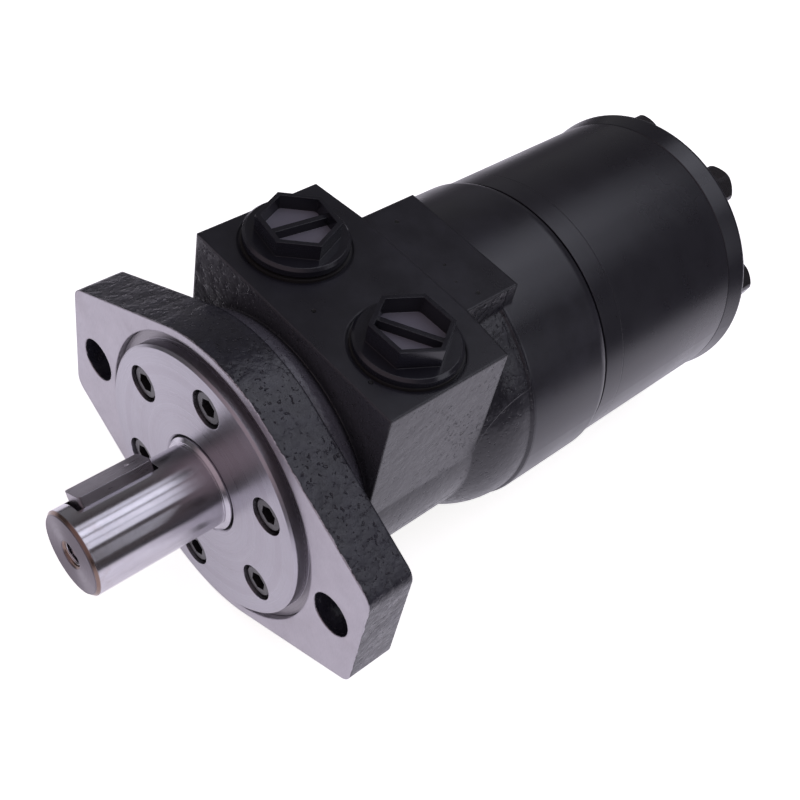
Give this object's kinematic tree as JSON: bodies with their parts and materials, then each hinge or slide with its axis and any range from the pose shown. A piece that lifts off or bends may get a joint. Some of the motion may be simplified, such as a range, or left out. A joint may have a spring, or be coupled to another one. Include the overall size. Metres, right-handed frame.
{
  "type": "hydraulic motor",
  "caption": "Orbital hydraulic motor: two-bolt oval flange, keyed cylindrical shaft, side-by-side ports with plugs, gerotor gear set behind a spool-valve housing.",
  "frame": {"origin": "centre of the flange's mounting face on the shaft axis", "axes": "-Y along the output shaft out of the flange, +Y back through the body, +X along the flange's long axis, +Z towards the ports"},
  "size_m": [0.129, 0.2407, 0.1047],
  "materials": {
    "cast_black": "satin black paint over a sand casting, bare machined mounting face",
    "machined_steel": "fine turned bare steel",
    "ground_steel": "ground and polished shaft steel",
    "black_oxide": "black oxide on steel fasteners",
    "painted_ring": "smooth satin black paint on turned steel",
    "hardened_steel": "hardened and ground steel",
    "seal_rubber": "matte nitrile rubber",
    "plug_plastic": "moulded black polyethylene"
  },
  "bodies": {
    "motor_body": {"housing": "cast_black", "front_cover": "machined_steel", "front_cover_screws": "black_oxide", "front_cover_oring": "seal_rubber", "dust_seal": "seal_rubber", "shaft_seal": "seal_rubber", "seal_backup_washer": "machined_steel", "thrust_race_front": "hardened_steel", "distributor_plate": "painted_ring", "stator_ring": "painted_ring", "end_cover": "painted_ring", "end_cover_bolts": "black_oxide", "end_cover_washers": "black_oxide", "body_orings": "seal_rubber", "check_spring_a": "hardened_steel", "check_spring_b": "hardened_steel"},
    "shaft": {"output_shaft": "ground_steel", "shaft_key": "hardened_steel", "thrust_race_rear": "hardened_steel"},
    "thrust_bearing": {"thrust_cage": "machined_steel", "thrust_needles": "hardened_steel"},
    "orbit": {"cardan_spacer": "hardened_steel"},
    "gear": {"rotor": "hardened_steel"},
    "cardan": {"cardan_shaft": "hardened_steel"},
    "plug_ring_a": {"port_plug_ring_a": "seal_rubber"},
    "plug_a": {"port_plug_a": "plug_plastic"},
    "plug_ring_b": {"port_plug_ring_b": "seal_rubber"},
    "plug_b": {"port_plug_b": "plug_plastic"},
    "check_a": {"check_ball_a": "hardened_steel"},
    "check_b": {"check_ball_b": "hardened_steel"}
  },
  "joints": [
    {"name": "shaft_spin", "type": "hinge", "parent": "motor_body", "child": "shaft", "pos_m": [0, 0.02, 0], "axis": [0, 1, 0], "continuous": true},
    {"name": "bearing_spin", "type": "hinge", "parent": "motor_body", "child": "thrust_bearing", "pos_m": [0, 0.01125, 0], "axis": [0, 1, 0], "continuous": true},
    {"name": "gear_orbit", "type": "hinge", "parent": "motor_body", "child": "orbit", "pos_m": [0, 0.17, 0], "axis": [0, 1, 0], "continuous": true},
    {"name": "gear_spin", "type": "hinge", "parent": "orbit", "child": "gear", "pos_m": [0.00252, 0.1515, 0.00062], "axis": [0, 1, 0], "continuous": true},
    {"name": "cardan_spin", "type": "hinge", "parent": "orbit", "child": "cardan", "pos_m": [0, 0.064, 0], "axis": [0.0274, 0.9996, 0.0068], "continuous": true},
    {"name": "plug_a_lift", "type": "slide", "parent": "motor_body", "child": "plug_ring_a", "axis": [0, 0, 1], "range_m": [0, 0.0128]},
    {"name": "plug_a_turn", "type": "hinge", "parent": "plug_ring_a", "child": "plug_a", "pos_m": [-0.0227, 0.043, 0.049], "axis": [0, 0, 1], "range_deg": [0, 2520]},
    {"name": "plug_b_lift", "type": "slide", "parent": "motor_body", "child": "plug_ring_b", "axis": [0, 0, 1], "range_m": [0, 0.0128]},
    {"name": "plug_b_turn", "type": "hinge", "parent": "plug_ring_b", "child": "plug_b", "pos_m": [0.0227, 0.043, 0.049], "axis": [0, 0, 1], "range_deg": [0, 2520]},
    {"name": "check_a_lift", "type": "slide", "parent": "motor_body", "child": "check_a", "axis": [0, 1, 0], "range_m": [0, 0.0012], "stiffness_N_per_m": 100, "springref_m": -0.001, "deforming": ["check_spring_a"]},
    {"name": "check_b_lift", "type": "slide", "parent": "motor_body", "child": "check_b", "axis": [0, 1, 0], "range_m": [0, 0.0012], "stiffness_N_per_m": 100, "springref_m": -0.001, "deforming": ["check_spring_b"]}
  ],
  "couplings": [
    {"joint": "bearing_spin", "follows": "shaft_spin", "ratio": 0.5},
    {"joint": "gear_orbit", "follows": "shaft_spin", "ratio": -6},
    {"joint": "gear_spin", "follows": "shaft_spin", "ratio": 7},
    {"joint": "cardan_spin", "follows": "shaft_spin", "ratio": 7},
    {"joint": "plug_a_lift", "follows": "plug_a_turn", "m_per_rad": 0.00028871},
    {"joint": "plug_b_lift", "follows": "plug_b_turn", "m_per_rad": 0.00028871}
  ]
}
